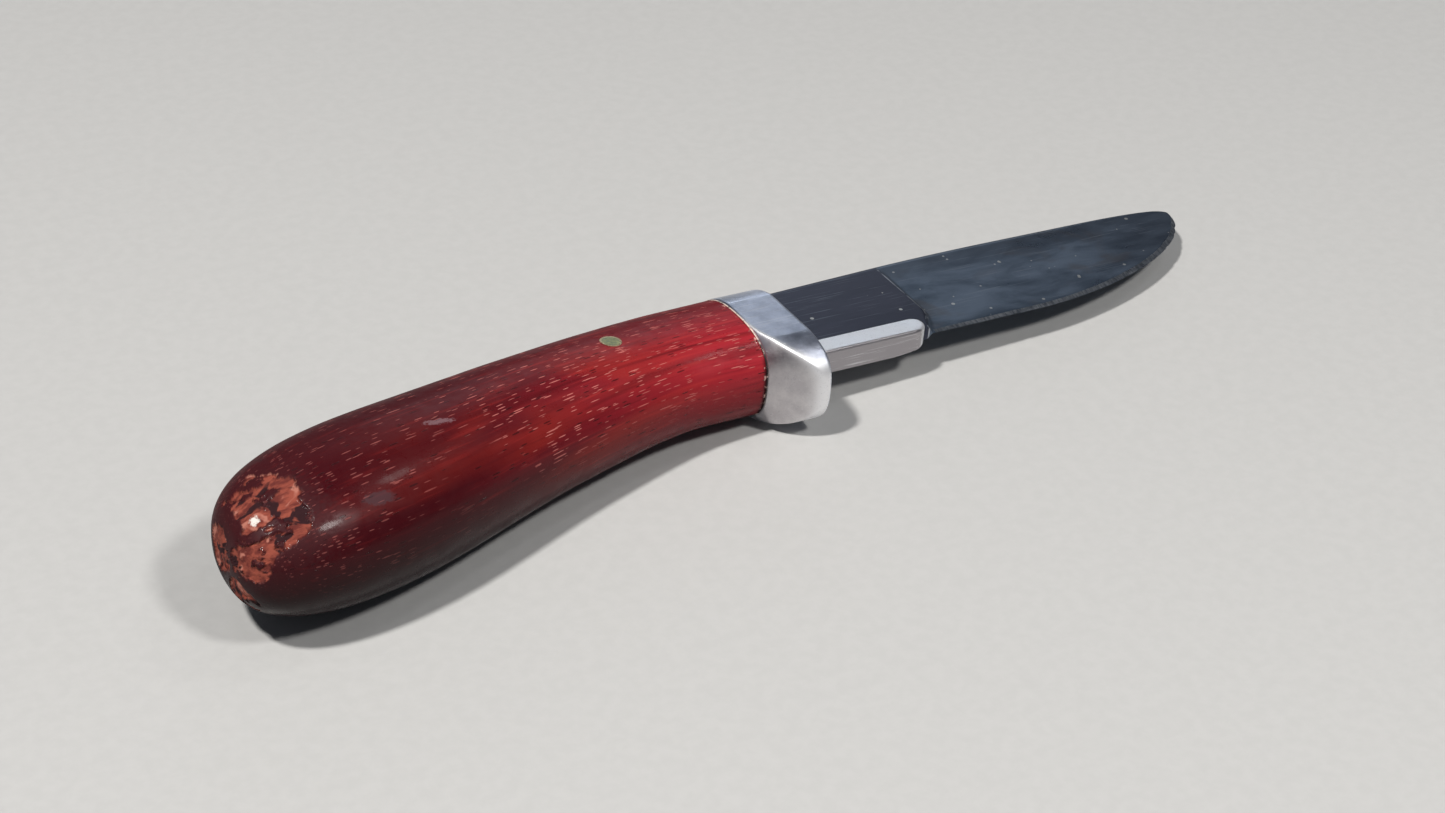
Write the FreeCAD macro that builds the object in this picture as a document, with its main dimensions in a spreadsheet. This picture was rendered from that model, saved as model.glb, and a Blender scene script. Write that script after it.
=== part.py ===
import FreeCAD, Part
import math
import os

import Sketcher
from FreeCAD import Placement, Rotation, Vector

# A fixed-blade boning knife on its side: +X to the tip, +Y to the spine, +Z up.
# Every sub-part is drawn about the middle of the joint between guard and grip,
# then its Placement moves that point to where it lies above the resting surface.

SIZES = {
    # whole knife lying down: joint centre seen from the middle of its footprint
    "lie_x": -2.15,
    "lie_y": 9.346,
    "lie_z": 13.402,
    # grip: joint end, its spine side a little taller than its edge side
    "front_at": 0.0,
    "front_droop": 0.0,
    "front_half_high": 12.4,
    "front_half_thick": 9.1,
    "front_spine_extra": 1.0,
    "front_edge_square": 2.68,
    "oval_square": 2.15,
    # grip: neck, palm and swell, each with its place, droop and halves
    "neck_at": 17.0,
    "neck_droop": 0.8,
    "neck_half_high": 12.8,
    "neck_half_thick": 9.2,
    "palm_at": 42.0,
    "palm_droop": 6.4,
    "palm_half_high": 14.2,
    "palm_half_thick": 11.3,
    "swell_at": 74.0,
    "swell_droop": 15.6,
    "swell_half_high": 16.6,
    "swell_half_thick": 13.3,
    "butt_at": 107.7,
    "butt_droop": 22.9,
    "butt_half_high": 18.0,
    "butt_half_thick": 14.2,
    "butt_dome_length": 40.0,
    "butt_dome_square": 3.0,
    "film_thick": 0.2,
    # guard
    "guard_length": 9.7,
    "guard_half_thick": 9.12,
    "guard_crown_half": 9.4,
    "guard_spine_half": 13.1,
    "guard_lug_half": 18.8,
    "guard_lug_square": 3.6,
    "guard_worn_square": 2.5,
    "relief_start_extra": 0.25,
    "relief_flare": 6.5,
    "relief_bend": 2.0,
    "relief_worn_square": 2.0,
    "guard_edge_round": 0.5,
    # tongue under the ricasso
    "tongue_end": 38.0,
    "tongue_top": -3.1,
    "tongue_side": -8.9,
    "tongue_thin_at": 28.0,
    "tongue_under": -2.7,
    "tongue_past_end": 42.0,
    "tongue_thin_end": -1.09,
    "thinning_wide": 40.0,
    "tongue_lip_half": 1.6,
    "tongue_half_thick": 2.6,
    "tongue_lip_half_low": -1.6,
    "tongue_half_thick_low": -2.6,
    "tongue_nose_round": 1.9,
    "tongue_heel_round": 3.7,
    "tongue_edge_round": 0.5,
    "slot_clear": 0.05,
    # blade
    "blade_thick": 2.4,
    "blade_end": 112.0,
    "blade_tip_high": 14.2,
    "spine_at_guard": 15.0,
    "spine_high": 17.0,
    "spine_rise_end": 68.0,
    "tip_drop_start": 90.0,
    "tip_drop_square": 2.4,
    "edge_low": -7.3,
    "belly_start": 64.0,
    "belly_square": 1.8,
    "edge_half_thick": 0.2,
    "edge_bevel_wide": 0.9,
    "spine_tip_half": 0.45,
    "spine_at_plunge": 16.35,
    "plunge_at": 41.3,
    "plunge_heel_at": 38.6,
    "plunge_bend_high": -0.5,
    "plunge_bend_round": 9.0,
    "ricasso_low": -7.0,
    # hidden tang
    "joint_at": 0.0,
    "tang_top": 7.5,
    "tang_low": -5.5,
    "tang_bend_at": -26.0,
    "tang_bend_top": 4.6,
    "tang_bend_low": -7.8,
    "tang_end": -66.0,
    "tang_end_top": -8.5,
    "tang_end_low": -14.8,
    # hole bored and filed for the tang
    "hole_thick": 4.6,
    "hole_mouth": -0.1,
    "hole_top": 8.6,
    "hole_low": -6.6,
    "hole_bend_top": 5.7,
    "hole_bend_low": -8.9,
    "hole_end": -67.2,
    "hole_end_top": -7.3,
    "hole_end_low": -16.0,
    # cross pin
    "pin_at": -26.5,
    "pin_high": -1.1,
    "pin_radius": 1.985,
    "pin_wall": 0.36,
    "pin_clear": 0.015,
}

doc = FreeCAD.newDocument("boning_knife")
sheet = doc.addObject("Spreadsheet::Sheet", "dims")
for row, (alias, value) in enumerate(SIZES.items(), start=1):
    sheet.set("A%d" % row, alias)
    sheet.set("B%d" % row, str(value))
    sheet.setAlias("B%d" % row, alias)
doc.recompute()


def size(alias):
    return float(getattr(sheet, alias))


# ---------------------------------------------------------------- curves
def blend(stations, x):
    """Smooth value at x through (place, value) stations, flat at neither end."""
    places = [place for place, _ in stations]
    values = [value for _, value in stations]
    slopes = []
    for i in range(len(places)):
        low = max(i - 1, 0)
        high = min(i + 1, len(places) - 1)
        slopes.append((values[high] - values[low]) / (places[high] - places[low]))
    i = 0
    while i < len(places) - 2 and x > places[i + 1]:
        i += 1
    gap = places[i + 1] - places[i]
    t = (x - places[i]) / gap
    rise = values[i + 1] - values[i]
    ease = t * t * (3 - 2 * t)
    lead = t * (1 - t) * (1 - t) * slopes[i] * gap
    trail = t * t * (t - 1) * slopes[i + 1] * gap
    return values[i] + rise * ease + lead + trail


def oval_point(turn, spine_half, edge_half, half_thick, spine_square, edge_square):
    """Point of an egg-shaped cross-section, turn running right round it."""
    c = math.cos(turn)
    s = math.sin(turn)
    half = spine_half if c >= 0 else edge_half
    square = spine_square if c >= 0 else edge_square
    y = half * math.copysign(abs(c) ** (2 / square), c)
    z = half_thick * math.copysign(abs(s) ** (2 / square), s)
    return y, z


def closed_spline(points):
    curve = Part.BSplineCurve()
    curve.interpolate(Points=points, PeriodicFlag=True)
    return Part.Wire([curve.toShape()])


def even_turns(count):
    return [2 * math.pi * (i + 0.5) / count for i in range(count)]


# ---------------------------------------------------------------- grip
def grip_size(kind, back):
    stations = ("front", "neck", "palm", "swell", "butt")
    return blend([(size(name + "_at"), size(name + "_" + kind)) for name in stations], back)


def dome(back):
    """How much of the full section is left this far back, from 1 to almost 0."""
    start = size("butt_at") - size("butt_dome_length")
    u = max(back - start, 0.0) / size("butt_dome_length")
    square = size("butt_dome_square")
    return max(1.0 - u ** square, 0.0) ** (1.0 / square)


def grip_section(back):
    left = dome(back)
    fade = max(1.0 - back / size("palm_at"), 0.0)
    edge_half = grip_size("half_high", back) * left
    spine_half = edge_half + size("front_spine_extra") * fade
    half_thick = grip_size("half_thick", back) * left
    spine_square = size("oval_square")
    edge_square = spine_square + (size("front_edge_square") - spine_square) * fade
    droop = grip_size("droop", back)
    points = []
    for turn in even_turns(40):
        y, z = oval_point(turn, spine_half, edge_half, half_thick, spine_square, edge_square)
        points.append(Vector(-back, y - droop, z))
    return closed_spline(points)


def grip_places():
    length = size("butt_at")
    dome_length = size("butt_dome_length")
    straight = [(length - dome_length) * i / 10.0 for i in range(10)]
    round_end = [length - dome_length * (1.0 - math.sin(0.5 * math.pi * i / 12.0)) for i in range(12)]
    return straight + round_end + [length - 0.05]


grip = doc.addObject("Part::Feature", "grip_form")
grip.Shape = Part.makeLoft([grip_section(back) for back in grip_places()], True, False)


# ---------------------------------------------------------------- flat outlines
def origin_plane(body, role):
    for feature in body.Origin.OriginFeatures:
        if feature.Role == role:
            return feature
    raise RuntimeError("no plane " + role)


def outline(body, name, role, corners):
    """Closed outline of straight lines, each corner a pair of sheet aliases."""
    sketch = body.newObject("Sketcher::SketchObject", name)
    sketch.AttachmentSupport = [(origin_plane(body, role), "")]
    sketch.MapMode = "FlatFace"
    count = len(corners)
    spots = [Vector(size(across), size(up), 0) for across, up in corners]
    for i in range(count):
        sketch.addGeometry(Part.LineSegment(spots[i], spots[(i + 1) % count]), False)
    for i in range(count):
        sketch.addConstraint(Sketcher.Constraint("Coincident", i, 2, (i + 1) % count, 1))
    for i, (across, up) in enumerate(corners):
        place = sketch.addConstraint(Sketcher.Constraint("DistanceX", -1, 1, i, 1, spots[i].x))
        sketch.setExpression("Constraints[%d]" % place, "dims." + across)
        place = sketch.addConstraint(Sketcher.Constraint("DistanceY", -1, 1, i, 1, spots[i].y))
        sketch.setExpression("Constraints[%d]" % place, "dims." + up)
    return sketch


def round_hole(body, name, role, across, up, radius):
    sketch = body.newObject("Sketcher::SketchObject", name)
    sketch.AttachmentSupport = [(origin_plane(body, role), "")]
    sketch.MapMode = "FlatFace"
    centre = Vector(size(across), size(up), 0)
    sketch.addGeometry(Part.Circle(centre, Vector(0, 0, 1), size(radius)), False)
    place = sketch.addConstraint(Sketcher.Constraint("DistanceX", -1, 1, 0, 3, centre.x))
    sketch.setExpression("Constraints[%d]" % place, "dims." + across)
    place = sketch.addConstraint(Sketcher.Constraint("DistanceY", -1, 1, 0, 3, centre.y))
    sketch.setExpression("Constraints[%d]" % place, "dims." + up)
    place = sketch.addConstraint(Sketcher.Constraint("Radius", 0, size(radius)))
    sketch.setExpression("Constraints[%d]" % place, "dims.%s + dims.pin_clear" % radius)
    return sketch


def plate(body, name, sketch, thickness):
    pad = body.newObject("PartDesign::Pad", name)
    pad.Profile = sketch
    pad.Midplane = True
    pad.setExpression("Length", "dims." + thickness)
    body.Tip = pad
    doc.recompute()
    return pad


def combine(kind, name, base, tool):
    feature = doc.addObject("Part::" + kind, name)
    feature.Base = base
    feature.Tool = tool
    doc.recompute()
    return feature


# ---------------------------------------------------------------- blade
def upright_edge_at(shape, x, y):
    for number, edge in enumerate(shape.Edges, start=1):
        centre = edge.CenterOfMass
        upright = abs(edge.tangentAt(edge.FirstParameter).z) > 0.99
        if upright and abs(centre.x - x) < 0.01 and abs(centre.y - y) < 0.01:
            return "Edge%d" % number
    raise RuntimeError("no upright edge there")


def tang_body():
    """Ricasso with the hidden tang behind it, drilled for the cross pin."""
    body = doc.addObject("PartDesign::Body", "tang_form")
    sketch = outline(
        body,
        "tang_outline",
        "XY_Plane",
        [
            ("guard_length", "spine_at_guard"),
            ("guard_length", "tang_top"),
            ("joint_at", "tang_top"),
            ("tang_bend_at", "tang_bend_top"),
            ("tang_end", "tang_end_top"),
            ("tang_end", "tang_end_low"),
            ("tang_bend_at", "tang_bend_low"),
            ("joint_at", "tang_low"),
            ("guard_length", "tang_low"),
            ("guard_length", "ricasso_low"),
            ("plunge_heel_at", "ricasso_low"),
            ("plunge_at", "plunge_bend_high"),
            ("plunge_at", "spine_at_plunge"),
        ],
    )
    pad = plate(body, "tang_plate", sketch, "blade_thick")
    bend = body.newObject("PartDesign::Fillet", "plunge_bend")
    bend.Base = (pad, [upright_edge_at(pad.Shape, size("plunge_at"), size("plunge_bend_high"))])
    bend.setExpression("Radius", "dims.plunge_bend_round")
    body.Tip = bend
    doc.recompute()
    hole = body.newObject("PartDesign::Pocket", "tang_pin_hole")
    hole.Profile = round_hole(body, "tang_pin_circle", "XY_Plane", "pin_at", "pin_high", "pin_radius")
    hole.Type = 1
    hole.Midplane = True
    body.Tip = hole
    doc.recompute()
    return body


def spine_y(x):
    joining = size("spine_at_plunge")
    along = (x - size("plunge_at")) / (size("spine_rise_end") - size("plunge_at"))
    if along < 0:
        back = (x - size("guard_length")) / (size("plunge_at") - size("guard_length"))
        return size("spine_at_guard") + (joining - size("spine_at_guard")) * back
    rise = min(along, 1.0)
    y = joining + (size("spine_high") - joining) * rise * (2 - rise)
    u = max(x - size("tip_drop_start"), 0.0) / (size("blade_end") - size("tip_drop_start"))
    power = size("tip_drop_square")
    left = max(1.0 - u ** power, 0.0) ** (1.0 / power)
    return y - (size("spine_high") - size("blade_tip_high")) * (1.0 - left)


def edge_y(x):
    u = max(x - size("belly_start"), 0.0) / (size("blade_end") - size("belly_start"))
    power = size("belly_square")
    left = max(1.0 - u ** power, 0.0) ** (1.0 / power)
    return size("edge_low") + (size("blade_tip_high") - size("edge_low")) * (1.0 - left)


def ground_section(x):
    """Spine flat, two flat-ground sides and the small sharpened bevel at the edge."""
    along = max(x - size("plunge_at"), 0.0) / (size("blade_end") - size("plunge_at"))
    full = size("blade_thick") / 2
    top = spine_y(x)
    low = edge_y(x)
    wide = top - low
    ease = min(wide / 8.0, 1.0)
    spine_half = (full + (size("spine_tip_half") - full) * along) * (0.35 + 0.65 * ease)
    edge_half = min(size("edge_half_thick"), spine_half * 0.6)
    lift = min(size("edge_bevel_wide") * (1.0 + 0.6 * along), wide * 0.3)
    corners = [
        Vector(x, top, spine_half),
        Vector(x, top, -spine_half),
        Vector(x, low + lift, -edge_half),
        Vector(x, low, 0),
        Vector(x, low + lift, edge_half),
    ]
    return Part.makePolygon(corners + corners[:1])


def ground_places():
    start = size("plunge_heel_at") - 2.0
    straight = [start + (size("belly_start") - start) * i / 4.0 for i in range(4)]
    belly = size("blade_end") - size("belly_start")
    steps = 14
    curved = [size("belly_start") + belly * math.sin(0.5 * math.pi * i / steps) for i in range(steps)]
    return straight + curved + [size("blade_end") - 0.05]


def blade_part():
    ground = doc.addObject("Part::Feature", "ground_form")
    ground.Shape = Part.makeLoft([ground_section(x) for x in ground_places()], True, False)
    tang_form = tang_body()
    return combine("Fuse", "blade", tang_form, ground), tang_form


# ---------------------------------------------------------------- guard
def worn_below(turn, upper, lower):
    """The lug's lower corner is rounder than its upper one."""
    return upper if math.sin(turn) > 0 else lower


def guard_crown():
    """Egg-shaped outline of the guard's front face, run back to the joint."""
    points = []
    for turn in even_turns(48):
        y, z = oval_point(
            turn,
            size("guard_spine_half"),
            size("guard_lug_half"),
            size("guard_crown_half"),
            size("oval_square"),
            worn_below(turn, size("guard_lug_square"), size("guard_worn_square")),
        )
        points.append(Vector(0, y, z))
    return Part.Face(closed_spline(points)).extrude(Vector(size("guard_length"), 0, 0))


def relief_section(forward):
    """Joint outline flared outwards: what the finger relief leaves at this place."""
    left = max(1.0 - forward / size("guard_length"), 0.0)
    flare = size("relief_flare") * (1.0 - left ** size("relief_bend"))
    upper = size("front_edge_square")
    lower = size("relief_worn_square") + (upper - size("relief_worn_square")) * left
    points = []
    for turn in even_turns(40):
        y, z = oval_point(
            turn,
            size("front_half_high") + size("front_spine_extra"),
            size("front_half_high") + flare,
            size("front_half_thick") + size("relief_start_extra") + flare,
            size("oval_square"),
            worn_below(turn, upper, lower),
        )
        points.append(Vector(forward, y, z))
    return closed_spline(points)


def shape_feature(name, shape):
    feature = doc.addObject("Part::Feature", name)
    feature.Shape = shape
    return feature


def block(name, low, sides):
    box = doc.addObject("Part::Box", name)
    box.Placement = Placement(Vector(*low), Rotation())
    for side, value in zip(("Length", "Width", "Height"), sides):
        box.setExpression(side, value)
    doc.recompute()
    return box


def guard_block():
    flat = size("guard_half_thick")
    slab = block(
        "guard_slab",
        (0, -size("guard_lug_half") - 1, -flat),
        (
            "dims.guard_length",
            "dims.guard_lug_half + dims.guard_spine_half + 2",
            "2 * dims.guard_half_thick",
        ),
    )
    crown = combine("Common", "guard_crown_flats", shape_feature("guard_crown", guard_crown()), slab)
    places = [size("guard_length") * i / 8.0 for i in range(9)]
    flared = Part.makeLoft([relief_section(x) for x in places], True, False)
    return combine("Common", "guard_block", crown, shape_feature("guard_relief", flared))


def rounded(name, base, chosen, radius):
    fillet = doc.addObject("Part::Fillet", name)
    fillet.Base = base
    fillet.Edges = [(number, radius, radius) for number in chosen]
    doc.recompute()
    return fillet


def front_edges(shape, front):
    """Numbers of the edges that run round the front face."""
    numbers = []
    for number, edge in enumerate(shape.Edges, start=1):
        if edge.BoundBox.XMin > front - 0.01:
            numbers.append(number)
    return numbers


def tongue_body():
    """Finger tongue that wraps the ricasso's lower edge ahead of the guard."""
    body = doc.addObject("PartDesign::Body", "tongue_form")
    sketch = outline(
        body,
        "tongue_outline",
        "YZ_Plane",
        [
            ("tongue_top", "tongue_lip_half"),
            ("tongue_side", "tongue_half_thick"),
            ("tongue_side", "tongue_half_thick_low"),
            ("tongue_top", "tongue_lip_half_low"),
        ],
    )
    pad = body.newObject("PartDesign::Pad", "tongue_bar")
    pad.Profile = sketch
    pad.setExpression("Length", "dims.tongue_end")
    body.Tip = pad
    doc.recompute()
    for name, corner in (("nose", "tongue_top"), ("heel", "tongue_side")):
        base = body.Tip
        bend = body.newObject("PartDesign::Fillet", "tongue_%s_bend" % name)
        bend.Base = (base, [upright_edge_at(base.Shape, size("tongue_end"), size(corner))])
        bend.setExpression("Radius", "dims.tongue_%s_round" % name)
        body.Tip = bend
        doc.recompute()
    return body


def tongue_thinning():
    """Wedge filed off the underside of the tongue towards its nose."""
    body = doc.addObject("PartDesign::Body", "thinning_form")
    sketch = outline(
        body,
        "thinning_outline",
        "XZ_Plane",
        [
            ("tongue_thin_at", "tongue_under"),
            ("tongue_past_end", "tongue_under"),
            ("tongue_past_end", "tongue_thin_end"),
        ],
    )
    plate(body, "thinning_plate", sketch, "thinning_wide")
    return body


def long_outer_edges(shape):
    """The two long corners of the tongue's outer side, and those round its nose."""
    numbers = []
    low = size("tongue_half_thick") - 0.9
    for number, edge in enumerate(shape.Edges, start=1):
        box = edge.BoundBox
        outer = min(abs(box.ZMin), abs(box.ZMax)) > low
        if outer and box.XMin >= -0.01 and box.XMax > 1 and box.YMax < size("tongue_top") - 0.3:
            numbers.append(number)
    return numbers


def guard_part():
    guard = guard_block()
    worn = rounded(
        "guard_worn",
        guard,
        front_edges(guard.Shape, size("guard_length")),
        size("guard_edge_round"),
    )
    bar = tongue_body()
    soft_bar = rounded("tongue_worn", bar, long_outer_edges(bar.Shape), size("tongue_edge_round"))
    tongue_start = block(
        "tongue_start",
        (-1, size("tongue_side") - 1, -size("tongue_half_thick") - 1),
        (
            "dims.guard_length - dims.guard_edge_round + 0.4",
            "dims.tongue_top - dims.tongue_side + 2",
            "2 * dims.tongue_half_thick + 2",
        ),
    )
    tongue = combine("Cut", "tongue", soft_bar, tongue_start)
    thinned = combine("Cut", "tongue_thinned", tongue, tongue_thinning())
    whole = combine("Fuse", "guard_whole", worn, thinned)
    clear = size("slot_clear")
    half = size("blade_thick") / 2 + clear
    tang_slot = block(
        "tang_slot",
        (-1, size("tang_low") - clear, -half),
        (
            "dims.guard_length + 2",
            "dims.tang_top - dims.tang_low + 2 * dims.slot_clear",
            "dims.blade_thick + 2 * dims.slot_clear",
        ),
    )
    ricasso_slot = block(
        "ricasso_slot",
        (size("guard_length"), size("ricasso_low") - clear, -half),
        ("dims.tongue_end", "30 mm", "dims.blade_thick + 2 * dims.slot_clear"),
    )
    slots = combine("Fuse", "slots", tang_slot, ricasso_slot)
    return combine("Cut", "guard", whole, slots)


# ---------------------------------------------------------------- grip and its fittings
def hole_body():
    """Space bored and filed in the wood for the tang, closed at its inner end."""
    body = doc.addObject("PartDesign::Body", "hole_form")
    sketch = outline(
        body,
        "hole_outline",
        "XY_Plane",
        [
            ("hole_mouth", "hole_top"),
            ("tang_bend_at", "hole_bend_top"),
            ("hole_end", "hole_end_top"),
            ("hole_end", "hole_end_low"),
            ("tang_bend_at", "hole_bend_low"),
            ("hole_mouth", "hole_low"),
        ],
    )
    plate(body, "hole_plate", sketch, "hole_thick")
    return body


def rod(name, radius):
    """Straight rod right through the grip where the cross pin goes."""
    cylinder = doc.addObject("Part::Cylinder", name)
    cylinder.setExpression("Radius", radius)
    cylinder.Height = 60
    cylinder.Placement = Placement(Vector(size("pin_at"), size("pin_high"), -30), Rotation())
    doc.recompute()
    return cylinder


def joint_film():
    """Thin layer of glue squeezed between guard and grip."""
    film = size("film_thick")
    back = shape_feature("joint_slab", Part.makeBox(film, 60, 60, Vector(-film, -30, -30)))
    return combine("Common", "joint_film", grip, back)


def grip_parts():
    film = joint_film()
    hole = hole_body()
    bore = rod("pin_bore", "dims.pin_radius + dims.pin_clear")
    opening = combine("Fuse", "grip_opening", hole, bore)
    wood = combine("Cut", "grip_wood", grip, film)
    handle = combine("Cut", "handle", wood, opening)
    glue = combine("Fuse", "glue_form", film, hole)
    glue_open = combine("Cut", "glue_open", glue, tang)
    bedding = combine("Cut", "tang_bedding", glue_open, bore)
    outer = rod("tube_outside", "dims.pin_radius")
    inner = rod("tube_inside", "dims.pin_radius - dims.pin_wall")
    tube = combine("Common", "pin_tube", combine("Cut", "tube_form", outer, inner), grip)
    core = combine("Common", "pin_core", inner, grip)
    return [handle, bedding, tube, core]


# ---------------------------------------------------------------- the six pieces
blade, tang = blade_part()
guard = guard_part()
pieces = [blade, guard] + grip_parts()

for piece in pieces:
    piece.Label = piece.Name
    piece.Placement = Placement(Vector(size("lie_x"), size("lie_y"), size("lie_z")), Rotation())
doc.recompute()

for item in doc.Objects:
    if "Invalid" in item.State or "Error" in item.State:
        raise RuntimeError("%s is %s" % (item.Label, item.State))

os.makedirs("parts", exist_ok=True)
for piece in pieces:
    if piece.Shape.isNull() or not piece.Shape.isValid():
        raise RuntimeError(piece.Label + " has no valid shape")
    box = piece.Shape.BoundBox
    spans = (box.XMin, box.XMax, box.YMin, box.YMax, box.ZMin, box.ZMax)
    print(piece.Label, len(piece.Shape.Solids), ["%.3f" % span for span in spans])
    piece.Shape.exportStep("parts/%s.step" % piece.Label)
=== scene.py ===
import math

import bmesh
import bpy
from mathutils import Matrix, Vector, noise


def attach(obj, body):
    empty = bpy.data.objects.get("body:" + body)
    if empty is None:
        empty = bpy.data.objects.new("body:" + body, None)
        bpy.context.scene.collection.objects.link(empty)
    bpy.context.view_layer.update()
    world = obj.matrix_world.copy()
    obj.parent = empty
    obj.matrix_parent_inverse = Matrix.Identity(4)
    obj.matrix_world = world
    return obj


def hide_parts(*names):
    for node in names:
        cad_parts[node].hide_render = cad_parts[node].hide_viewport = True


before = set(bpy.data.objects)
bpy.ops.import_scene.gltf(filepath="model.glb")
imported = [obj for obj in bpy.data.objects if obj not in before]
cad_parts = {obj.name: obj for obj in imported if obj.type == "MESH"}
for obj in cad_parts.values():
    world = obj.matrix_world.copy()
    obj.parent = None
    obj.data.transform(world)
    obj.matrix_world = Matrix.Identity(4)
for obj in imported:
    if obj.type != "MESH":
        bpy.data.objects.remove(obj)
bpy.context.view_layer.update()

MM = 0.001

# Where the middle of the joint between guard and grip lies above the surface.
JOINT = Vector((-2.15, 9.346, 13.402))

# The grip's stations, back from the joint: place, droop, half height, half thickness.
GRIP = (
    (0.0, 0.0, 12.4, 9.1),
    (17.0, 0.8, 12.8, 9.2),
    (42.0, 6.4, 14.2, 11.3),
    (74.0, 15.6, 16.6, 13.3),
    (107.7, 22.9, 18.0, 14.2),
)
GRIP_LENGTH = 107.7
PALM_AT = 42.0
DOME_LENGTH = 40.0
DOME_SQUARE = 3.0
OVAL_SQUARE = 2.15
FRONT_EDGE_SQUARE = 2.68
FRONT_SPINE_EXTRA = 1.0
FILM_THICK = 0.2

# Guard: front outline, finger relief behind it, and the flats of its two sides.
GUARD_LENGTH = 9.7
GUARD_SPINE_HALF = 13.1
GUARD_LUG_HALF = 18.8
GUARD_CROWN_HALF = 9.4
GUARD_FLAT = 9.12
GUARD_LUG_SQUARE = 3.6
RELIEF_EXTRA = 0.25
RELIEF_FLARE = 6.5
RELIEF_BEND = 2.0

# Gap, hidden in the guard, between the visible blade's mesh and the tang's.
TANG_CLEAR = 0.05

# Blade outline and thicknesses.
BLADE_HALF = 1.2
BLADE_END = 112.0
TIP_HIGH = 14.2
SPINE_AT_GUARD = 15.0
SPINE_AT_PLUNGE = 16.35
SPINE_HIGH = 17.0
SPINE_RISE_END = 68.0
TIP_DROP_START = 90.0
TIP_DROP_SQUARE = 2.4
EDGE_LOW = -7.3
RICASSO_LOW = -7.0
BELLY_START = 64.0
BELLY_SQUARE = 1.8
PLUNGE_AT = 41.3
PLUNGE_HEEL_AT = 38.6
PLUNGE_BEND_HIGH = -0.5
EDGE_HALF = 0.2
BEVEL_WIDE = 0.9
SPINE_TIP_HALF = 0.45
SPINE_CHAMFER = 0.12
HEEL_RUN = 1.5

# Degrees that the floor leans, and a place on it close under the grip.
FLOOR_LEAN = -2.6
FLOOR_TOUCH = Vector((-83.0, 0.0, -0.2))


# ------------------------------------------------------------------ curves
def blend(stations, column, x):
    """Smooth value at x through the stations, as the grip's sections follow them."""
    places = [row[0] for row in stations]
    values = [row[column] for row in stations]
    slopes = []
    for i in range(len(places)):
        low = max(i - 1, 0)
        high = min(i + 1, len(places) - 1)
        slopes.append((values[high] - values[low]) / (places[high] - places[low]))
    i = 0
    while i < len(places) - 2 and x > places[i + 1]:
        i += 1
    gap = places[i + 1] - places[i]
    t = (x - places[i]) / gap
    ease = t * t * (3 - 2 * t)
    lead = t * (1 - t) * (1 - t) * slopes[i] * gap
    trail = t * t * (t - 1) * slopes[i + 1] * gap
    return values[i] + (values[i + 1] - values[i]) * ease + lead + trail


def smooth(low, high, x):
    t = min(max((x - low) / (high - low), 0.0), 1.0)
    return t * t * (3 - 2 * t)


def fractal(point, octaves=4):
    return noise.fractal(point, 0.8, 2.1, octaves)


def oval_point(turn, spine_half, edge_half, half_thick, spine_square, edge_square):
    c = math.cos(turn)
    s = math.sin(turn)
    half = spine_half if c >= 0 else edge_half
    square = spine_square if c >= 0 else edge_square
    y = half * math.copysign(abs(c) ** (2 / square), c)
    z = half_thick * math.copysign(abs(s) ** (2 / square), s)
    return y, z


# ------------------------------------------------------------------ meshes
def new_piece(name, verts, faces):
    """Mesh object from points in mm about the joint, riding on the knife."""
    mesh = bpy.data.meshes.new(name)
    mesh.from_pydata([(Vector(v) + JOINT) * MM for v in verts], [], faces)
    mesh.validate()
    mesh.polygons.foreach_set("use_smooth", [True] * len(mesh.polygons))
    piece = bpy.data.objects.new(name, mesh)
    bpy.context.collection.objects.link(piece)
    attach(piece, "root")
    return piece


def mark(piece, name, values):
    """One number for each vertex, for the materials to read."""
    layer = piece.data.attributes.new(name, "FLOAT", "POINT")
    layer.data.foreach_set("value", values)


def grip_ring_point(back, turn):
    start = GRIP_LENGTH - DOME_LENGTH
    u = min(max(back - start, 0.0) / DOME_LENGTH, 1.0)
    left = max(1.0 - u ** DOME_SQUARE, 0.0) ** (1.0 / DOME_SQUARE)
    fade = max(1.0 - back / PALM_AT, 0.0)
    edge_half = blend(GRIP, 2, back) * left
    spine_half = edge_half + FRONT_SPINE_EXTRA * fade
    half_thick = blend(GRIP, 3, back) * left
    edge_square = OVAL_SQUARE + (FRONT_EDGE_SQUARE - OVAL_SQUARE) * fade
    y, z = oval_point(turn, spine_half, edge_half, half_thick, OVAL_SQUARE, edge_square)
    return Vector((-back, y - blend(GRIP, 1, back), z))


# The knocked places on the butt: middle and reach of each.
KNOCKS = (
    (Vector((-101.3, -22.8, 9.0)), 6.0),
    (Vector((-99.6, -26.6, 9.4)), 5.4),
    (Vector((-104.6, -28.4, 4.0)), 4.6),
    (Vector((-106.4, -22.0, 1.0)), 4.4),
    (Vector((-105.4, -27.6, -4.0)), 3.6),
)


def knock_depth(p):
    """How raw the wood is here: 0 under sound lacquer, 1 where it is knocked off."""
    ragged = 0.34 * fractal(p * 0.22 + Vector((3, 1, 7))) + 0.13 * fractal(p * 0.7)
    inside = max(1.0 - (p - middle).length / reach for middle, reach in KNOCKS)
    left_over = fractal(Vector((p.x * 0.15, p.y * 0.26, p.z * 0.26)) + Vector((2, 8, 5)))
    return smooth(0.02, 0.10, inside + ragged) * smooth(-0.32, -0.22, left_over)


def grip_relief(p):
    """Inward depth in mm: soft hand-shaping, the raw places and their splintered layers."""
    depth = 0.08 + 0.05 * fractal(p * 0.07)
    raw = knock_depth(p)
    if raw > 0:
        steps = fractal(Vector((p.x * 0.22, p.y * 0.5, p.z * 0.5)) + Vector((9, 2, 4)))
        chips = abs(fractal(p * 0.4 + Vector((5, 5, 1))))
        depth += raw * (0.30 + 0.20 * math.floor(steps * 3.0) / 3.0 + 0.12 * chips)
    return max(depth, 0.0)


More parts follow.
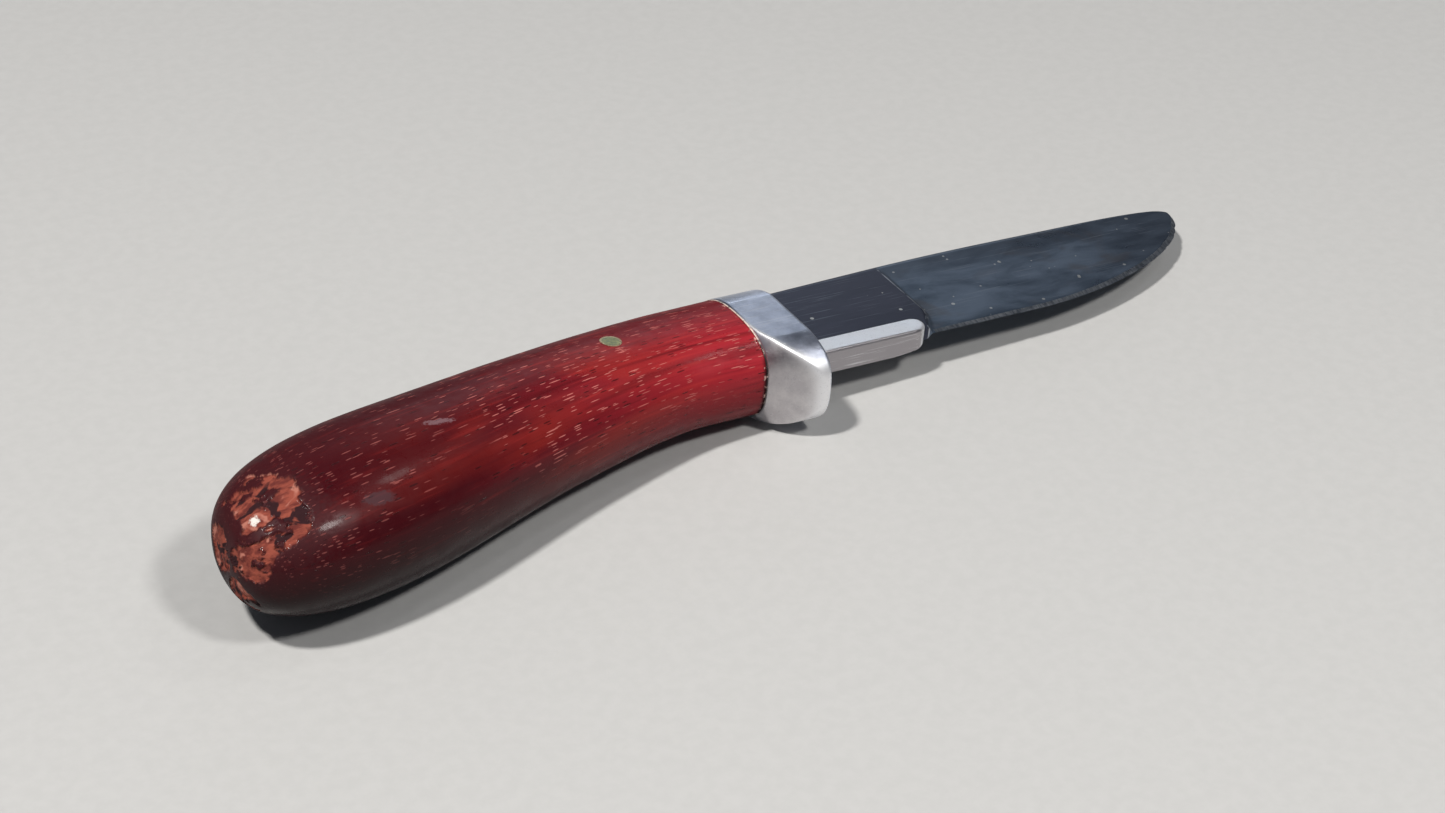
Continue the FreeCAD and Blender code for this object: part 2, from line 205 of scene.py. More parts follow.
def grip_mesh():
    rings = []
    length = GRIP_LENGTH
    straight = 190
    domed = 150
    start = length - DOME_LENGTH
    for i in range(straight):
        rings.append(FILM_THICK + (start - FILM_THICK) * i / straight)
    for i in range(domed):
        rings.append(start + DOME_LENGTH * math.sin(0.5 * math.pi * i / domed))
    around = 300
    verts = []
    raw = []
    spineward = []
    grain = []
    for back in rings:
        droop = Vector((0, blend(GRIP, 1, back), 0))
        slim = GRIP[0][2] / blend(GRIP, 2, back)
        ring = [grip_ring_point(back, 2 * math.pi * j / around) for j in range(around)]
        centre = sum(ring, Vector()) / around
        for j, p in enumerate(ring):
            spineward.append(math.cos(2 * math.pi * j / around))
            inward = centre - p
            inward.x = 6.0 * smooth(start + 10, length, back)
            p = p + inward.normalized() * grip_relief(p)
            verts.append(p)
            raw.append(knock_depth(p))
            along = (p + droop) * slim
            grain += [-back * MM, along.y * MM, along.z * MM]
    faces = []
    for i in range(len(rings) - 1):
        for j in range(around):
            k = (j + 1) % around
            faces.append((i * around + j, i * around + k, (i + 1) * around + k, (i + 1) * around + j))
    verts.append(sum((verts[-around + j] for j in range(around)), Vector()) / around)
    raw.append(0.0)
    spineward.append(0.0)
    grain += [-length * MM, 0.0, 0.0]
    last = (len(rings) - 1) * around
    for j in range(around):
        faces.append((last + j, last + (j + 1) % around, len(verts) - 1))
    faces.append(tuple(range(around))[::-1])
    piece = new_piece("grip", verts, faces)
    mark(piece, "raw", raw)
    mark(piece, "spineward", spineward)
    flow = piece.data.attributes.new("grain", "FLOAT_VECTOR", "POINT")
    flow.data.foreach_set("vector", grain)
    return piece


def spine_y(x):
    if x < PLUNGE_AT:
        back = (x - GUARD_LENGTH) / (PLUNGE_AT - GUARD_LENGTH)
        return SPINE_AT_GUARD + (SPINE_AT_PLUNGE - SPINE_AT_GUARD) * back
    rise = min((x - PLUNGE_AT) / (SPINE_RISE_END - PLUNGE_AT), 1.0)
    y = SPINE_AT_PLUNGE + (SPINE_HIGH - SPINE_AT_PLUNGE) * rise * (2 - rise)
    u = max(x - TIP_DROP_START, 0.0) / (BLADE_END - TIP_DROP_START)
    left = max(1.0 - u ** TIP_DROP_SQUARE, 0.0) ** (1.0 / TIP_DROP_SQUARE)
    return y - (SPINE_HIGH - TIP_HIGH) * (1.0 - left)


def edge_y(x):
    if x < PLUNGE_HEEL_AT:
        return RICASSO_LOW
    u = max(x - BELLY_START, 0.0) / (BLADE_END - BELLY_START)
    left = max(1.0 - u ** BELLY_SQUARE, 0.0) ** (1.0 / BELLY_SQUARE)
    heel = smooth(PLUNGE_HEEL_AT, PLUNGE_HEEL_AT + HEEL_RUN, x)
    low = RICASSO_LOW + (EDGE_LOW - RICASSO_LOW) * heel
    return low + (TIP_HIGH - EDGE_LOW) * (1.0 - left)


# Small nicks along the sharp edge: place along the blade, half width, depth.
NICKS = ((109.6, 0.5, 0.35), (107.9, 0.35, 0.22), (103.2, 0.5, 0.2), (88.0, 0.4, 0.15), (58.5, 0.5, 0.12))


def nick(x):
    return sum(deep * math.exp(-(((x - place) / half) ** 2)) for place, half, deep in NICKS)


def plunge_x(y):
    """Where the grind starts, straight above the bend and sweeping back below it."""
    if y > PLUNGE_BEND_HIGH:
        return PLUNGE_AT
    down = (PLUNGE_BEND_HIGH - y) / (PLUNGE_BEND_HIGH - RICASSO_LOW)
    return PLUNGE_AT - (PLUNGE_AT - PLUNGE_HEEL_AT) * down ** 1.3


def ground_share(x):
    """0 where the grind starts, 1 at the tip."""
    return max(x - PLUNGE_AT, 0.0) / (BLADE_END - PLUNGE_AT)


def bevel_width(x, top, low):
    """Width of the sharpened bevel, growing to the tip until the blade runs out."""
    return min(BEVEL_WIDE * (1.0 + 0.6 * ground_share(x)), max(top - low, 0.01) * 0.3)


def blade_half_thickness(x, y, top, low):
    """Half thickness at any point of the blade's outline."""
    along = ground_share(x)
    wide = max(top - low, 0.01)
    ease = min(wide / 8.0, 1.0)
    spine_half = (BLADE_HALF + (SPINE_TIP_HALF - BLADE_HALF) * along) * (0.35 + 0.65 * ease)
    edge_half = min(EDGE_HALF, spine_half * 0.6)
    lift = bevel_width(x, top, low)
    up = (y - low - lift) / max(wide - lift, 0.01)
    ground = edge_half + (spine_half - edge_half) * min(max(up, 0.0), 1.0)
    if y < low + lift:
        ground = edge_half * (y - low) / lift
    start = plunge_x(y)
    t = smooth(start - 0.1, start + 1.1, x)
    return BLADE_HALF + (ground - BLADE_HALF) * t


def blade_places():
    """Stations along the blade, close together at the plunge and towards the tip."""
    places = [GUARD_LENGTH + (PLUNGE_HEEL_AT - HEEL_RUN - GUARD_LENGTH) * i / 40.0 for i in range(40)]
    fine = PLUNGE_AT + 2.0 - (PLUNGE_HEEL_AT - HEEL_RUN)
    places += [PLUNGE_HEEL_AT - HEEL_RUN + fine * i / 60.0 for i in range(60)]
    rest = BLADE_END - 0.06 - (PLUNGE_AT + 2.0)
    places += [PLUNGE_AT + 2.0 + rest * math.sin(0.5 * math.pi * i / 220.0) for i in range(221)]
    return places


def blade_mesh():
    """The visible blade, each place along it one closed loop round the section."""
    verts = []
    faces = []
    materials = []
    rows = 26
    places = blade_places()
    for x in places:
        top = spine_y(x)
        low = edge_y(x) + (nick(x) if x > PLUNGE_AT else 0.0)
        lift = bevel_width(x, top, low)
        heights = [low, low + lift * 0.5]
        heights += [low + lift + (top - low - lift) * i / rows for i in range(rows + 1)]
        side = []
        for y in heights:
            half = blade_half_thickness(x, y, top, low)
            side.append((y, half))
        y_top, half_top = side[-1]
        side[-1] = (y_top, max(half_top - SPINE_CHAMFER, half_top * 0.6))
        side.insert(-1, (y_top - min(SPINE_CHAMFER, (y_top - low) * 0.1), half_top))
        ring = [(x, y, half) for y, half in side] + [(x, y, -half) for y, half in reversed(side)]
        loop = len(ring)
        verts += ring
    count = len(places)
    per_side = loop // 2
    for i in range(count - 1):
        middle = 0.5 * (places[i] + places[i + 1])
        for j in range(loop):
            k = (j + 1) % loop
            faces.append((i * loop + j, (i + 1) * loop + j, (i + 1) * loop + k, i * loop + k))
            row = j if j < per_side else loop - 2 - j
            on_bevel = row < 2 and middle > PLUNGE_HEEL_AT + HEEL_RUN
            materials.append(1 if on_bevel else 0)
    faces.append(tuple(range(loop)))
    materials.append(0)
    last = (count - 1) * loop
    faces.append(tuple(last + j for j in range(loop))[::-1])
    materials.append(0)
    piece = new_piece("blade_steel", verts, faces)
    piece.data.polygons.foreach_set("material_index", materials[: len(piece.data.polygons)])
    piece.data.set_sharp_from_angle(angle=math.radians(60))
    return piece


def tang_mesh():
    """The hidden tang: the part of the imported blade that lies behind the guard's front."""
    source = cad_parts["blade"].data
    piece = bpy.data.objects.new("hidden_tang", source.copy())
    bpy.context.collection.objects.link(piece)
    mesh = bmesh.new()
    mesh.from_mesh(piece.data)
    plane = (JOINT + Vector((GUARD_LENGTH - TANG_CLEAR, 0, 0))) * MM
    bmesh.ops.bisect_plane(
        mesh,
        geom=mesh.verts[:] + mesh.edges[:] + mesh.faces[:],
        plane_co=plane,
        plane_no=(1, 0, 0),
        clear_outer=True,
    )
    open_edges = [edge for edge in mesh.edges if len(edge.link_faces) == 1]
    bmesh.ops.holes_fill(mesh, edges=open_edges, sides=0)
    mesh.to_mesh(piece.data)
    mesh.free()
    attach(piece, "root")
    return piece


def softened_copy(node, name, voxel, rounds):
    """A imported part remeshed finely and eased, as filing and handling ease its ridges."""
    piece = bpy.data.objects.new(name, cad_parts[node].data.copy())
    bpy.context.collection.objects.link(piece)
    remesh = piece.modifiers.new("fine", "REMESH")
    remesh.mode = "VOXEL"
    remesh.voxel_size = voxel * MM
    ease = piece.modifiers.new("ease", "SMOOTH")
    ease.factor = 0.5
    ease.iterations = rounds
    bpy.context.view_layer.update()
    ready = bpy.data.meshes.new_from_object(piece.evaluated_get(bpy.context.evaluated_depsgraph_get()))
    piece.modifiers.clear()
    piece.data = ready
    piece.data.polygons.foreach_set("use_smooth", [True] * len(piece.data.polygons))
    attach(piece, "root")
    return piece


def oval_level(y, z, spine_half, edge_half, half_thick, edge_square):
    """Below 1 inside an egg-shaped section, 1 on it, above 1 outside."""
    half = spine_half if y >= 0 else edge_half
    square = OVAL_SQUARE if y >= 0 else edge_square
    return ((abs(y) / half) ** square + (abs(z) / half_thick) ** square) ** (1.0 / square)


def mark_guard(piece):
    """Attributes: wall in the finger relief, and a band along the crease where the relief meets the rest of
    the guard, which the material paints as a highlight.
    """
    walls = []
    ridges = []
    for vertex in piece.data.vertices:
        p = vertex.co / MM - JOINT
        left = min(max(1.0 - p.x / GUARD_LENGTH, 0.0), 1.0)
        flare = RELIEF_FLARE * (1.0 - left ** RELIEF_BEND)
        edge_half = GRIP[0][2] + flare
        thick = GRIP[0][3] + RELIEF_EXTRA + flare
        relief = oval_level(p.y, p.z, GRIP[0][2] + FRONT_SPINE_EXTRA, edge_half, thick, FRONT_EDGE_SQUARE)
        crown = oval_level(p.y, p.z, GUARD_SPINE_HALF, GUARD_LUG_HALF, GUARD_CROWN_HALF, GUARD_LUG_SQUARE)
        outside = max(crown, abs(p.z) / GUARD_FLAT)
        over = (relief - outside) * 12.0
        lug = smooth(1.0, -5.0, p.y) if p.x < GUARD_LENGTH - 0.3 else 0.0
        walls.append(smooth(-0.4, 0.4, over) * lug)
        # Band along the crease, painted as a highlight by the guard's material.
        ridges.append(math.exp(-((over + 0.1) / 0.55) ** 2) * lug)
    mark(piece, "wall", walls)
    mark(piece, "ridge_highlight", ridges)


# ------------------------------------------------------------------ materials
# Wood tones mixed by place: DARK_RED at the butt end and away from the painted light band, BRIGHT_RED near
# the guard inside that band.
DARK_RED = (0.040, 0.0028, 0.0050)
BRIGHT_RED = (0.345, 0.0190, 0.0290)


class Nodes:
    """A few short calls that keep the material recipes readable."""

    def __init__(self, name):
        self.material = bpy.data.materials.new(name)
        self.material.use_nodes = True
        self.tree = self.material.node_tree
        self.shader = self.tree.nodes["Principled BSDF"]
        self.place = self.new("ShaderNodeTexCoord").outputs["Object"]

    def new(self, kind):
        return self.tree.nodes.new(kind)

    def link(self, source, target):
        self.tree.links.new(source, target)

    def stretched(self, scale, turn=(0, 0, 0), shift=(0, 0, 0)):
        """Object coordinates in mm, scaled by axis."""
        node = self.new("ShaderNodeMapping")
        node.vector_type = "POINT"
        node.inputs["Scale"].default_value = [value / MM for value in scale]
        node.inputs["Rotation"].default_value = turn
        node.inputs["Location"].default_value = shift
        self.link(self.place, node.inputs["Vector"])
        return node.outputs["Vector"]

    def noise(self, scale, detail=3.0, rough=0.55, turn=(0, 0, 0), shift=(0, 0, 0), warp=0.0):
        node = self.new("ShaderNodeTexNoise")
        node.inputs["Scale"].default_value = 1.0
        node.inputs["Detail"].default_value = detail
        node.inputs["Roughness"].default_value = rough
        node.inputs["Distortion"].default_value = warp
        self.link(self.stretched(scale, turn, shift), node.inputs["Vector"])
        return node.outputs["Fac"]

    def cells(self, scale, shift=(0, 0, 0)):
        node = self.new("ShaderNodeTexVoronoi")
        node.inputs["Scale"].default_value = 1.0
        self.link(self.stretched(scale, shift=shift), node.inputs["Vector"])
        return node

    def ramp(self, value, low, high, start=0.0, end=1.0):
        node = self.new("ShaderNodeMapRange")
        node.interpolation_type = "SMOOTHSTEP"
        node.inputs["From Min"].default_value = low
        node.inputs["From Max"].default_value = high
        node.inputs["To Min"].default_value = start
        node.inputs["To Max"].default_value = end
        self.link(value, node.inputs["Value"])
        return node.outputs["Result"]

    def math(self, kind, first, second):
        node = self.new("ShaderNodeMath")
        node.operation = kind
        for socket, value in zip(node.inputs, (first, second)):
            if isinstance(value, (int, float)):
                socket.default_value = value
            else:
                self.link(value, socket)
        return node.outputs["Value"]

    def mix(self, amount, first, second, kind="MIX"):
        node = self.new("ShaderNodeMix")
        node.data_type = "RGBA"
        node.blend_type = kind
        if isinstance(amount, (int, float)):
            node.inputs[0].default_value = amount
        else:
            self.link(amount, node.inputs[0])
        for socket, value in zip((node.inputs[6], node.inputs[7]), (first, second)):
            if isinstance(value, tuple):
                socket.default_value = (*value, 1.0)
            else:
                self.link(value, socket)
        return node.outputs[2]

    def axis(self, letter):
        """One object coordinate in mm about the joint."""
        node = self.new("ShaderNodeSeparateXYZ")
        self.link(self.place, node.inputs["Vector"])
        offset = JOINT["XYZ".index(letter)]
        scaled = self.math("MULTIPLY", node.outputs[letter], 1.0 / MM)
        return self.math("SUBTRACT", scaled, offset)

    def attribute(self, name):
        node = self.new("ShaderNodeAttribute")
        node.attribute_name = name
        return node.outputs["Fac"]

    def follow(self, name):
        """Texture by a vector attribute of the mesh instead of by plain place."""
        node = self.new("ShaderNodeAttribute")
        node.attribute_name = name
        self.place = node.outputs["Vector"]

    def near(self, spot, reach, ragged=0.0, stretch=(1, 1, 1)):
        """1 at a spot given in mm about the joint, falling to 0 at reach, with a broken edge."""
        shifted = self.new("ShaderNodeVectorMath")
        shifted.operation = "SUBTRACT"
        self.link(self.place, shifted.inputs[0])
        shifted.inputs[1].default_value = (Vector(spot) + JOINT) * MM
        scaled = self.new("ShaderNodeVectorMath")
        scaled.operation = "MULTIPLY"
        self.link(shifted.outputs["Vector"], scaled.inputs[0])
        scaled.inputs[1].default_value = [value / MM / reach for value in stretch]
        length = self.new("ShaderNodeVectorMath")
        length.operation = "LENGTH"
        self.link(scaled.outputs["Vector"], length.inputs[0])
        away = length.outputs["Value"]
        if ragged:
            rough = self.noise((1.4, 1.4, 1.4), 4.0, 0.7)
            away = self.math("ADD", away, self.math("MULTIPLY", self.math("SUBTRACT", rough, 0.5), ragged))
        return self.ramp(away, 0.6, 1.0, 1.0, 0.0)

    def bump(self, height, distance, strength=1.0, below=None):
        node = self.new("ShaderNodeBump")
        node.inputs["Strength"].default_value = strength
        node.inputs["Distance"].default_value = distance * MM
        self.link(height, node.inputs["Height"])
        if below is not None:
            self.link(below, node.inputs["Normal"])
        return node.outputs["Normal"]

    def finish(self, colour, roughness, normal):
        self.link(colour, self.shader.inputs["Base Color"])
        self.link(roughness, self.shader.inputs["Roughness"])
        self.link(normal, self.shader.inputs["Normal"])
        return self.material


def wood_pores(n, shift, length, width, chance):
    """Short open pores that run with the grain: 1 on a pore, 0 elsewhere."""
    cell = n.cells((0.30 / length, 0.30 / width, 0.30 / width), shift=shift)
    pick = n.new("ShaderNodeSeparateColor")
    n.link(cell.outputs["Color"], pick.inputs["Color"])
    reach = n.ramp(pick.outputs["Green"], 0.0, 1.0, 0.16, 0.30)
    dash = n.ramp(n.math("SUBTRACT", reach, cell.outputs["Distance"]), 0.0, 0.05)
    return n.math("MULTIPLY", dash, n.ramp(pick.outputs["Red"], 1.0 - chance, 1.03 - chance))


def grip_wood():
    n = Nodes("lacquered_red_wood")
    x = n.axis("X")
    z = n.axis("Z")
    spineward = n.attribute("spineward")
    raw = n.attribute("raw")
    plain = n.place
    n.follow("grain")
    crowd = n.noise((0.04, 0.12, 0.12), 2.0, 0.5, shift=(7, 3, 1))
    fine = wood_pores(n, (0, 0, 0), 0.95, 0.095, 0.50)
    long = wood_pores(n, (3.7, 1.2, 8.8), 1.60, 0.105, 0.44)
    dark = wood_pores(n, (9.1, 5.5, 2.3), 1.0, 0.13, 0.42)
    fibre = n.noise((0.05, 1.5, 1.5), 4.0, 0.6)
    streak = n.noise((0.014, 0.20, 0.20), 3.0, 0.55, warp=0.6)
    flame = n.noise((0.020, 0.060, 0.060), 2.0, 0.5, shift=(4, 1, 2), warp=0.8)
    drift = n.math("MULTIPLY", n.math("SUBTRACT", streak, 0.5), 34.0)
    n.place = plain

    forward = n.ramp(n.math("ADD", x, drift), -78.0, 18.0)
    # shoulder: the upper flank on the edge side. Its brightening is painted light and sheen; the darker spine
    # side is kept as the wood's own tone.
    shoulder = n.math("MULTIPLY", n.ramp(spineward, 0.45, -0.55), n.ramp(z, -9.0, 6.0))
    # bright: the wood's own tone, redder toward the guard, times the painted light band.
    bright = n.math("MULTIPLY", forward, n.math("ADD", n.math("MULTIPLY", shoulder, 0.72), 0.28))
    colour = n.mix(bright, DARK_RED, BRIGHT_RED)
    middle = n.math("MULTIPLY", n.ramp(n.math("ADD", x, drift), -100.0, -38.0), n.ramp(x, -4.0, -34.0))
    # Flame figure of the grain, shown only inside the painted light band.
    glow = n.math("MULTIPLY", n.math("MULTIPLY", n.ramp(flame, 0.44, 0.62), middle), shoulder)
    colour = n.mix(n.math("MULTIPLY", glow, 0.40), colour, (0.34, 0.028, 0.016))
    colour = n.mix(n.ramp(streak, 0.55, 0.70, 0.0, 0.6), colour, (0.050, 0.003, 0.005))
    colour = n.mix(n.ramp(fibre, 0.50, 0.74, 0.0, 0.45), colour, (0.060, 0.004, 0.006))
    lit = n.math("MULTIPLY", n.ramp(fibre, 0.46, 0.30, 0.0, 0.26), n.ramp(x, -88.0, -30.0, 0.25, 1.0))
    colour = n.mix(lit, colour, (0.42, 0.035, 0.030))
    # Painted shade: the underside darkened almost to black, faintly near the guard and strongly toward the
    # butt.
    underside_shade = n.math("MULTIPLY", n.ramp(z, 7.0, -5.0), n.ramp(x, -12.0, -84.0, 0.05, 0.96))
    colour = n.mix(underside_shade, colour, (0.009, 0.0012, 0.0020))

    where = n.math("MULTIPLY", n.ramp(crowd, 0.30, 0.52), n.ramp(x, -92.0, -40.0, 0.30, 1.0))
    where = n.math("MULTIPLY", where, n.ramp(z, -5.0, 7.0, 0.05, 1.0))
    pale = n.math("MULTIPLY", n.math("MAXIMUM", fine, long), where)
    colour = n.mix(n.math("MULTIPLY", dark, 0.7), colour, (0.022, 0.003, 0.004))
    colour = n.mix(n.math("MULTIPLY", pale, 0.72), colour, (0.56, 0.17, 0.15))

    scuff = n.near((-67.5, -17.1, 12.8), 1.3, 2.4, (0.40, 1.6, 1.0))
    colour = n.mix(n.math("MULTIPLY", scuff, 0.5), colour, (0.22, 0.14, 0.16))
    rub = n.near((-83.7, -29.7, 9.7), 2.1, 1.4, (0.6, 1.8, 1.0))
    colour = n.mix(n.math("MULTIPLY", rub, 0.5), colour, (0.050, 0.034, 0.042))

    # Painted shade of the gap at the joint: the grip's front edge darkened on its lower part.
    joint_gap_shade = n.math("MULTIPLY", n.ramp(x, -1.1, -0.35), n.ramp(z, 7.5, 3.0))
    colour = n.mix(n.math("MULTIPLY", joint_gap_shade, 0.85), colour, (0.010, 0.004, 0.005))
    chipped = n.noise((0.8, 0.8, 0.8), 4.0, 0.7)
    fleck = n.math("MULTIPLY", n.ramp(x, -0.95, -0.45), n.ramp(chipped, 0.56, 0.60))
    colour = n.mix(n.math("MULTIPLY", fleck, 0.8), colour, (0.62, 0.40, 0.36))

    splinter = n.noise((0.16, 0.75, 0.75), 4.0, 0.6, shift=(1, 6, 3))
    bare = n.mix(n.ramp(splinter, 0.36, 0.60), (0.110, 0.022, 0.018), (0.245, 0.058, 0.038))
    flake = n.noise((0.15, 0.24, 0.24), 3.0, 0.55, shift=(8, 8, 2), warp=0.6)
    bare = n.mix(n.ramp(flake, 0.55, 0.61), bare, (0.36, 0.135, 0.100))
    bare = n.mix(n.ramp(flake, 0.45, 0.40), bare, (0.026, 0.008, 0.010))
    worn = n.near((-101.0, -25.5, 5.0), 13.0, 0.8)
    colour = n.mix(n.math("MULTIPLY", worn, 0.45), colour, (0.030, 0.006, 0.008))
    colour = n.mix(raw, colour, bare)
    # A chip in the lacquer by the knocks; its near-white colour is a painted reflection off the lifted
    # lacquer edge.
    chip = n.near((-103.3, -26.0, 8.0), 1.1, 1.8)
    colour = n.mix(chip, colour, (0.66, 0.62, 0.58))

    sheen = n.noise((0.35, 0.35, 0.35), 4.0, 0.6, shift=(2, 2, 5))
    rough = n.ramp(sheen, 0.3, 0.75, 0.24, 0.40)
    rough = n.math("ADD", rough, n.ramp(spineward, -0.35, 0.35, 0.0, 0.34))
    rough = n.math("ADD", rough, n.math("MULTIPLY", pale, 0.25))
    rough = n.math("ADD", rough, n.math("MULTIPLY", n.math("MAXIMUM", scuff, rub), 0.2))
    rough = n.math("ADD", rough, n.math("MULTIPLY", worn, 0.28))
    rough = n.math("MAXIMUM", rough, n.math("MULTIPLY", raw, 0.85))

    normal = n.bump(n.math("ADD", pale, dark), -0.06, 0.8)
    normal = n.bump(fibre, 0.04, 0.30, normal)
    normal = n.bump(n.math("MULTIPLY", n.math("ADD", splinter, flake), raw), 0.22, 0.8, normal)
    normal = n.bump(sheen, 0.025, 0.35, normal)
    n.shader.inputs["Coat Weight"].default_value = 0.05
    n.shader.inputs["Coat Roughness"].default_value = 0.10
    n.shader.inputs["Specular IOR Level"].default_value = 0.13
    return n.finish(colour, rough, normal)


def scratches(n, turn, shift, fine):
    """Long hair scratches in one direction: 1 in a scratch."""
    lines = n.noise((0.05, fine, fine), 2.0, 0.6, turn=(0, 0, turn), shift=shift)
    breaks = n.noise((0.12, 0.3, 0.3), 2.0, 0.5, turn=(0, 0, turn), shift=shift)
    return n.math("MULTIPLY", n.ramp(lines, 0.60, 0.68), n.ramp(breaks, 0.45, 0.60))


def specks(n, size, shift, chance):
    """Scattered specks of dust and tiny dents, none in most of the cells."""
    cell = n.cells((size, size, size), shift=shift)
    pick = n.new("ShaderNodeSeparateColor")
    n.link(cell.outputs["Color"], pick.inputs["Color"])
    reach = n.ramp(pick.outputs["Blue"], 0.0, 1.0, 0.05, 0.16)
    dot = n.ramp(n.math("SUBTRACT", reach, cell.outputs["Distance"]), 0.0, 0.03)
    return n.math("MULTIPLY", dot, n.ramp(pick.outputs["Red"], 1.0 - chance, 1.01 - chance))


def guard_metal():
    n = Nodes("filed_aluminium")
    x = n.axis("X")
    y = n.axis("Y")
    blotch = n.noise((0.16, 0.16, 0.16), 4.0, 0.6)
    grit = n.noise((2.4, 2.4, 2.4), 4.0, 0.7)
    filed = n.noise((3.2, 0.25, 0.25), 3.0, 0.6)
    scratch = n.math("MAXIMUM", scratches(n, 0.35, (0, 0, 0), 4.0), scratches(n, -0.75, (5, 2, 0), 3.2))
    scratch = n.math("MAXIMUM", scratch, scratches(n, 1.45, (2, 9, 4), 3.6))
    wall_mark = n.attribute("wall")
    ridge_highlight = n.attribute("ridge_highlight")
    flat = n.math("SUBTRACT", 1.0, wall_mark)
    tongue = n.ramp(x, 9.8, 10.2)
    tongue_top_highlight = n.math("MULTIPLY", tongue, n.ramp(y, -8.65, -8.25))
    wall = n.mix(n.ramp(blotch, 0.35, 0.65), (0.47, 0.45, 0.47), (0.62, 0.60, 0.61))
    dull = n.mix(n.ramp(blotch, 0.32, 0.68), (0.38, 0.41, 0.50), (0.68, 0.72, 0.84))
    colour = n.mix(flat, wall, dull)
    sky = n.math("MULTIPLY", wall_mark, n.ramp(y, -13.0, -5.0))
    colour = n.mix(n.math("MULTIPLY", sky, 0.7), colour, (0.60, 0.66, 0.82))
    # Painted highlight: near-white along the crease between the relief and the flats.
    colour = n.mix(ridge_highlight, colour, (0.97, 0.97, 0.99))
    # Painted shade: the tongue's side darker grey than the rest of the guard.
    colour = n.mix(tongue, colour, (0.38, 0.36, 0.38))
    # Painted highlight: the tongue's top facet near-white.
    colour = n.mix(tongue_top_highlight, colour, (0.93, 0.94, 0.97))
    colour = n.mix(n.math("MULTIPLY", n.ramp(grit, 0.55, 0.70), 0.22), colour, (0.20, 0.20, 0.23))
    marks = n.math("MULTIPLY", scratch, n.math("ADD", n.math("MULTIPLY", flat, 0.5), 0.15))
    colour = n.mix(marks, colour, (0.88, 0.88, 0.92))
    rough = n.ramp(blotch, 0.3, 0.7, 0.30, 0.40)
    rough = n.math("ADD", rough, n.math("MULTIPLY", n.math("MAXIMUM", tongue_top_highlight, ridge_highlight), 0.14))
    rough = n.math("ADD", rough, n.math("MULTIPLY", scratch, -0.05))
    normal = n.bump(scratch, -0.02, 0.6)
    normal = n.bump(grit, 0.012, 0.45, normal)
    normal = n.bump(n.math("MULTIPLY", filed, tongue), 0.03, 0.6, normal)
    normal = n.bump(blotch, 0.08, 0.2, normal)
    n.shader.inputs["Metallic"].default_value = 1.0
    return n.finish(colour, rough, normal)


def blade_metal():
    n = Nodes("dark_ground_steel")
    x = n.axis("X")
    y = n.axis("Y")
    bend = n.ramp(y, PLUNGE_BEND_HIGH, RICASSO_LOW, 0.0, PLUNGE_AT - PLUNGE_HEEL_AT)
    across = n.math("SUBTRACT", n.math("ADD", x, bend), PLUNGE_AT)
    ground = n.ramp(across, 0.1, 0.7)
    cloud = n.noise((0.07, 0.16, 0.3), 5.0, 0.6, warp=0.5)
    film = n.noise((0.05, 0.09, 0.2), 3.0, 0.6, shift=(5, 5, 5), warp=0.8)
    draw = n.noise((3.0, 0.07, 0.3), 3.0, 0.6)
    flat = n.mix(n.ramp(cloud, 0.35, 0.7), (0.030, 0.034, 0.056), (0.051, 0.056, 0.084))
    bevel = n.mix(n.ramp(cloud, 0.30, 0.70), (0.076, 0.105, 0.150), (0.150, 0.195, 0.262))
    bevel = n.mix(n.ramp(film, 0.52, 0.70, 0.0, 0.5), bevel, (0.112, 0.100, 0.100))
    dusk = n.math("MAXIMUM", n.ramp(y, 8.0, 16.5, 0.0, 0.5), n.ramp(x, 78.0, 108.0, 0.0, 0.5))
    bevel = n.mix(dusk, bevel, (0.038, 0.045, 0.063))
    colour = n.mix(ground, flat, bevel)
    glint = n.math("MULTIPLY", n.ramp(across, -0.10, 0.08), n.ramp(across, 0.40, 0.16))
    glint = n.math("MULTIPLY", glint, n.ramp(n.noise((0.3, 0.3, 0.3), 3.0, 0.6, shift=(6, 1, 1)), 0.42, 0.56))
    colour = n.mix(n.math("MULTIPLY", glint, 0.8), colour, (0.50, 0.54, 0.60))
    long_marks = scratches(n, 0.05, (0, 0, 0), 2.6)
    cross_marks = scratches(n, 1.15, (3, 3, 3), 2.2)
    mark = n.math("MAXIMUM", long_marks, cross_marks)
    colour = n.mix(n.math("MULTIPLY", mark, 0.28), colour, (0.24, 0.27, 0.32))
    dust = n.math("MAXIMUM", specks(n, 0.62, (1, 7, 2), 0.20), specks(n, 0.34, (4, 2, 9), 0.16))
    colour = n.mix(n.math("MULTIPLY", dust, 0.8), colour, (0.58, 0.58, 0.56))
    rough = n.ramp(cloud, 0.3, 0.7, 0.32, 0.44)
    rough = n.math("ADD", rough, n.math("MULTIPLY", ground, -0.05))
    normal = n.bump(mark, -0.015, 0.5)
    normal = n.bump(draw, 0.008, 0.4, normal)
    normal = n.bump(cloud, 0.05, 0.15, normal)
    n.shader.inputs["Metallic"].default_value = 0.85
    return n.finish(colour, rough, normal)


def edge_metal():
    n = Nodes("honed_edge_steel")
    lines = n.noise((2.0, 0.4, 0.4), 4.0, 0.7)
    blotch = n.noise((0.15, 0.5, 0.5), 3.0, 0.6)
    colour = n.mix(n.ramp(lines, 0.35, 0.7), (0.20, 0.22, 0.25), (0.52, 0.54, 0.57))
    colour = n.mix(n.ramp(blotch, 0.55, 0.75, 0.0, 0.5), colour, (0.16, 0.16, 0.17))
    rough = n.ramp(blotch, 0.3, 0.7, 0.26, 0.40)
    normal = n.bump(lines, 0.01, 0.6)
    n.shader.inputs["Metallic"].default_value = 1.0
    return n.finish(colour, rough, normal)


